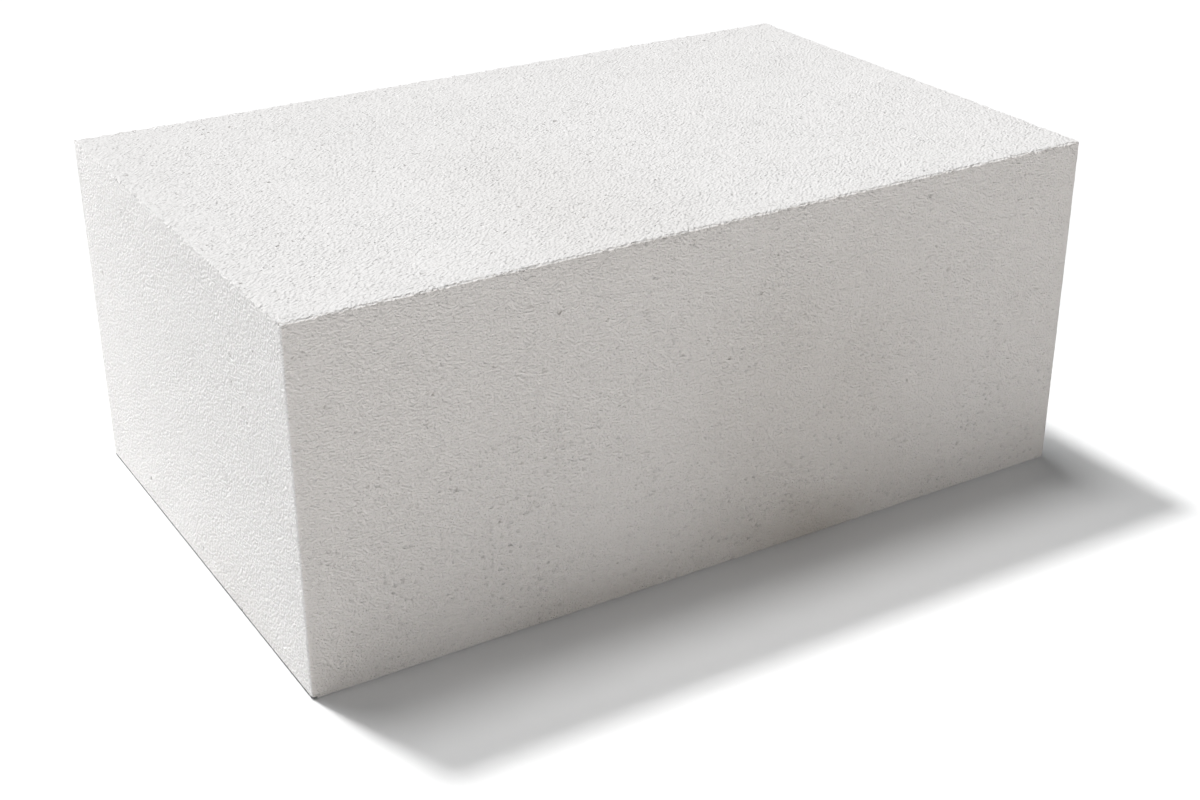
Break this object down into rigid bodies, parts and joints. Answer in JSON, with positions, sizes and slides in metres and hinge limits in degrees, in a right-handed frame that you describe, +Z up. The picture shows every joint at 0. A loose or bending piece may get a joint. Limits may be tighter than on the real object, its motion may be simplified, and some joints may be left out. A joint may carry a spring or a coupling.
{
  "type": "autoclaved aerated concrete wall block",
  "caption": "Solid cuboid wall block of autoclaved aerated concrete, plain on every face, laid in thin-bed mortar to build load-bearing or infill walls.",
  "frame": {"origin": "centre of the bottom bed face, which lies on the floor", "axes": "+X along the 600 mm length, +Y through the 375 mm wall thickness, +Z up the 250 mm course height"},
  "size_m": [0.6, 0.375, 0.25],
  "materials": {
    "aerated_concrete": "matt pale warm grey-white aerated concrete, wire-sawn, with a fine granular texture and scattered open pores"
  },
  "bodies": {
    "root": {"aerated_concrete_block": "aerated_concrete"}
  },
  "joints": []
}
